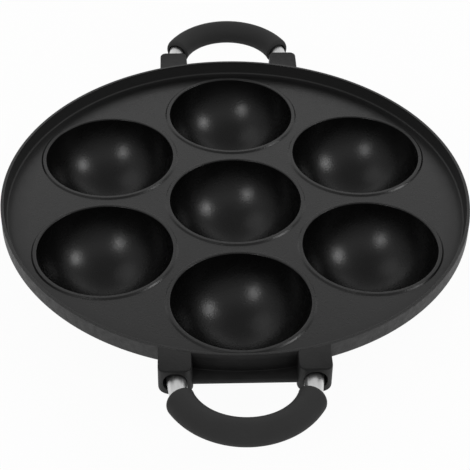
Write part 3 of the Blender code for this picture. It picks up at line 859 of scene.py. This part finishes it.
def make_rim_paint():
    """Paint of the rim's outer wall: greyer, with a coarse grain."""
    nodes = Nodes("rim_paint", grey=0.026, roughness=0.58)
    mottle = nodes.noise(size=0.0025, detail=4.0)
    nodes.finish("Base Color", nodes.ranged(mottle, RIM_PAINT_GREY, FULL_SPAN))
    nodes.finish("Roughness", nodes.ranged(nodes.noise(size=0.004, detail=3.0), RIM_PAINT_ROUGHNESS))
    nodes.bumps(RIM_PAINT_GRAINS)
    return nodes.material


def make_rubber():
    """Moulded rubber: black, dull and faintly mottled."""
    nodes = Nodes("grip_rubber", grey=0.047, roughness=0.64, specular=0.06)
    mottle = nodes.noise(size=0.01, detail=3.0)
    nodes.finish("Base Color", nodes.ranged(mottle, RUBBER_GREY, FULL_SPAN))
    nodes.finish("Roughness", nodes.ranged(nodes.noise(size=0.005, detail=3.0), RUBBER_ROUGHNESS))
    nodes.bumps(RUBBER_GRAINS)
    return nodes.material


def make_steel():
    """Polished steel with faint marks along the bar."""
    nodes = Nodes("polished_steel", grey=0.68, roughness=0.36, metallic=1.0)
    along = nodes.stretched(STEEL_STRETCH)
    marks = nodes.noise(size=0.0006, detail=3.0, roughness=0.6, place=along)
    nodes.finish("Roughness", nodes.ranged(marks, STEEL_ROUGHNESS))
    nodes.bumps(STEEL_GRAINS, along)
    return nodes.material


def make_screw_steel():
    """Dark steel of the set screws."""
    nodes = Nodes("dark_screw_steel", grey=0.10, roughness=0.38, metallic=1.0)
    nodes.finish("Roughness", nodes.ranged(nodes.noise(size=0.0008, detail=3.0), SCREW_ROUGHNESS))
    nodes.bumps(SCREW_GRAINS)
    return nodes.material


def paint_pan(pan, coating, paint, rim_paint):
    """Coating inside the rim, grey paint on the rim's wall, black on lugs, webs and underside."""
    pan.data.materials.clear()
    for material in (coating, paint, rim_paint):
        pan.data.materials.append(material)
    coated, painted, rim_painted = range(3)
    inside = RIM_RADIUS - RIM_EDGE
    for polygon in pan.data.polygons:
        x, y, z = polygon.center
        radius = hypot(x, y)
        wall = inside < radius < RIM_RADIUS + FILLET_DIP and z > PLATE_BOTTOM
        lined = radius <= inside and polygon.normal.z > 0 and z > BASE_THICKNESS - OVERLAP
        if wall and abs(x) > LUG_MIDDLE_X:
            polygon.material_index = rim_painted
        else:
            polygon.material_index = coated if lined else painted


def make_floor():
    """White floor that keeps a faint shadow; it shows as white in the gloss too."""
    corners = [(x * FLOOR_HALF, y * FLOOR_HALF, 0) for x, y in ((-1, -1), (1, -1), (1, 1), (-1, 1))]
    floor = mesh_object("floor", corners, [(0, 1, 2, 3)])
    nodes = Nodes("white_floor", grey=1.0, roughness=FLOOR_ROUGHNESS, specular=0.0)
    rays = nodes.node("LightPath").outputs
    seen = nodes.worked("MAXIMUM", rays["Is Camera Ray"], rays["Is Glossy Ray"])
    seen = nodes.worked("MAXIMUM", seen, rays["Is Transmission Ray"])
    share = nodes.worked("MULTIPLY", seen, FLOOR_GLOW_SHARE)
    glow = nodes.node("Emission", {"Strength": 1.0}).outputs["Emission"]
    mix = nodes.node("MixShader", {"Fac": share, 1: nodes.shader.outputs["BSDF"], 2: glow})
    nodes.surface(mix.outputs["Shader"])
    floor.data.materials.append(nodes.material)


def make_dome():
    """The studio's dim ceiling and dark front, and its pale wall behind the pan: a glowing dome that
    lights the pan as the room does, unseen by the camera."""
    profile = arc(0, 0, DOME_RADIUS, 0, pi / 2, DOME_ROWS)[:-1] + [(0, DOME_RADIUS)]
    dome = lathe("studio_dome", profile, DOME_COLUMNS)
    nodes = Nodes("studio_glow")
    nodes.tree.nodes.remove(nodes.shader)
    back, height = nodes.axis("Y"), nodes.axis("Z")

    def step(value, levels, shares):
        return nodes.ranged(value, levels, [share * DOME_RADIUS for share in shares], "SMOOTHSTEP")

    room = step(height, ROOM_GLOW, ROOM_HEIGHT)
    room = nodes.worked("ADD", room, step(height, CROWN_GLOW, CROWN_HEIGHT))
    front = step(back, FRONT_GLOW, FRONT_DEPTH)
    front = nodes.worked("MULTIPLY", front, step(height, RISING, FRONT_FOOT))
    front = nodes.worked("MULTIPLY", front, step(height, FALLING, FRONT_TOP))
    room = nodes.worked("ADD", room, front)
    wall = step(back, RISING, WALL_DEPTH)
    wall = nodes.worked("MULTIPLY", wall, step(height, FALLING, WALL_TOP))
    either = nodes.node("Mix", {"Factor": wall, "A": room, "B": WALL_GLOW}).outputs["Result"]
    nodes.surface(nodes.node("Emission", {"Strength": either}).outputs["Emission"])
    dome.data.materials.append(nodes.material)
    dome.visible_camera = False


def make_lamp(name, direction, width, height, radiance):
    """Oval soft lamp that faces the pan."""
    light = bpy.data.lights.new(name, "AREA")
    light.shape = "ELLIPSE"
    light.size = width
    light.size_y = height
    light.energy = radiance * pi * pi * width * height / 4
    lamp = bpy.data.objects.new(name, light)
    bpy.context.scene.collection.objects.link(lamp)
    direction = Vector(direction).normalized()
    lamp.location = direction * LAMP_DISTANCE
    lamp.rotation_euler = (-direction).to_track_quat("-Z", "Y").to_euler()


def make_camera():
    """The photo's camera."""
    data = bpy.data.cameras.new("camera")
    data.lens = CAMERA_LENS
    data.sensor_width = CAMERA_SENSOR
    data.clip_start = CAMERA_NEAR
    camera = bpy.data.objects.new("camera", data)
    bpy.context.scene.collection.objects.link(camera)
    place, aim = Vector(CAMERA_PLACE), Vector(CAMERA_AIM)
    view = (aim - place).to_track_quat("-Z", "Y").to_matrix().to_4x4()
    camera.matrix_world = Matrix.Translation(place) @ view @ Matrix.Rotation(CAMERA_ROLL, 4, "Z")
    bpy.context.scene.camera = camera


def make_world():
    """Plain white world."""
    world = bpy.data.worlds.new("white_studio")
    world.use_nodes = True
    background = world.node_tree.nodes["Background"]
    background.inputs["Color"].default_value = (1, 1, 1, 1)
    background.inputs["Strength"].default_value = 1.0
    bpy.context.scene.world = world


def dress(piece, node, material=None):
    """Gives a piece its material, rides it on the one body, and puts it in its node's place."""
    if material:
        piece.data.materials.clear()
        piece.data.materials.append(material)
    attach(piece, "root")
    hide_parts(node)


def main():
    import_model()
    bpy.context.scene.view_settings.view_transform = "Standard"
    turns = (("rear", Matrix.Identity(4)), ("front", Matrix.Rotation(pi, 4, "Z")))
    pan = make_pan(turns)
    paint_pan(pan, make_coating(), make_paint(), make_rim_paint())
    smooth(pan)
    dress(pan, "pan_body")
    steel, rubber, screw_steel = make_steel(), make_rubber(), make_screw_steel()
    for end, turn in turns:
        rod = make_rod(end + "_steel_rod", turn)
        smooth(rod)
        dress(rod, end + "_handle_rod", steel)
        grip = make_grip(end + "_sleeve", turn)
        smooth(grip, GRIP_SMOOTH_ANGLE)
        dress(grip, end + "_grip", rubber)
        for place in screw_places(turn):
            name = end + ("_left" if place.x < 0 else "_right")
            screw = make_screw(name + "_socket_screw", place)
            smooth(screw)
            dress(screw, name + "_set_screw", screw_steel)
    make_floor()
    make_dome()
    make_world()
    for name, lamp in LAMPS.items():
        make_lamp(name, *lamp)
    make_camera()


main()
